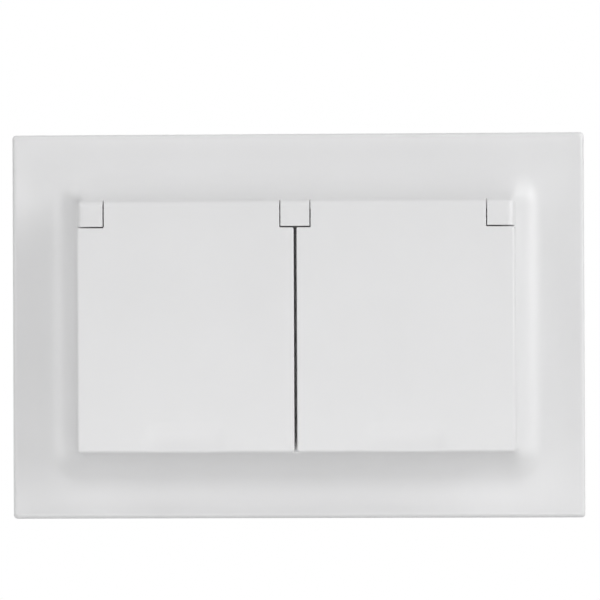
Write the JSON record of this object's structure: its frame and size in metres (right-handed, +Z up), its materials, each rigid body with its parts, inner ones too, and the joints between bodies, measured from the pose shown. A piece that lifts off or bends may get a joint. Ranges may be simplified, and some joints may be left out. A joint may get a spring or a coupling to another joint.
{
  "type": "double wall socket",
  "caption": "White flush-mounted earthed double wall socket with a coved cover frame and two sprung hinged lids over recessed outlets, sealed against splashes.",
  "frame": {"origin": "centre of the cover frame on the wall plane, midway between the two fixing screws", "axes": "+X to the right seen from the front, +Y into the wall, +Z up the wall; the lids face -Y"},
  "size_m": [0.128, 0.0565, 0.086],
  "materials": {
    "white_gloss": "glossy",
    "grey_plastic": "matt",
    "shutter_plastic": "matt",
    "seal_rubber": "matt",
    "steel": "satin",
    "plated_steel": "zinc plated",
    "brass": "satin",
    "tinned_brass": "tinned"
  },
  "bodies": {
    "socket_body": {"cover_frame": "white_gloss", "socket_face": "white_gloss", "face_gasket": "seal_rubber", "wall_gasket": "seal_rubber", "left_hinge_pin": "steel", "right_hinge_pin": "steel", "left_lid_spring": "steel", "right_lid_spring": "steel", "mounting_strap": "plated_steel", "strap_rivets": "steel", "earth_rivet": "steel", "base_moulding": "grey_plastic", "rear_cover": "grey_plastic", "rear_cover_screws": "steel", "live_strip": "brass", "neutral_strip": "brass", "earth_bridge": "brass", "left_earth_clip": "tinned_brass", "right_earth_clip": "tinned_brass", "left_shutter_spring": "steel", "right_shutter_spring": "steel", "left_face_screw": "steel", "right_face_screw": "steel", "live_terminal_clamp": "plated_steel", "live_terminal_screw": "steel", "neutral_terminal_clamp": "plated_steel", "neutral_terminal_screw": "steel", "earth_terminal_clamp": "plated_steel", "earth_terminal_screw": "steel"},
    "left_lid_body": {"left_lid": "white_gloss", "left_lid_gasket": "seal_rubber"},
    "right_lid_body": {"right_lid": "white_gloss", "right_lid_gasket": "seal_rubber"},
    "left_shutter_body": {"left_shutter": "shutter_plastic"},
    "right_shutter_body": {"right_shutter": "shutter_plastic"}
  },
  "joints": [
    {"name": "left_lid_hinge", "type": "hinge", "parent": "socket_body", "child": "left_lid_body", "pos_m": [0, -0.0223, 0.02465], "axis": [-1, 0, 0], "range_deg": [0, 110], "stiffness_Nm_per_rad": 0.006, "springref_deg": -57.3, "deforming": ["left_lid_spring"]},
    {"name": "right_lid_hinge", "type": "hinge", "parent": "socket_body", "child": "right_lid_body", "pos_m": [0, -0.0223, 0.02465], "axis": [-1, 0, 0], "range_deg": [0, 110], "stiffness_Nm_per_rad": 0.006, "springref_deg": -57.3, "deforming": ["right_lid_spring"]},
    {"name": "left_shutter_slide", "type": "slide", "parent": "socket_body", "child": "left_shutter_body", "axis": [0.7071, 0, 0.7071], "range_m": [0, 0.0052], "stiffness_N_per_m": 150, "springref_m": -0.004, "deforming": ["left_shutter_spring"]},
    {"name": "right_shutter_slide", "type": "slide", "parent": "socket_body", "child": "right_shutter_body", "axis": [-0.7071, 0, -0.7071], "range_m": [0, 0.0052], "stiffness_N_per_m": 150, "springref_m": -0.004, "deforming": ["right_shutter_spring"]}
  ]
}
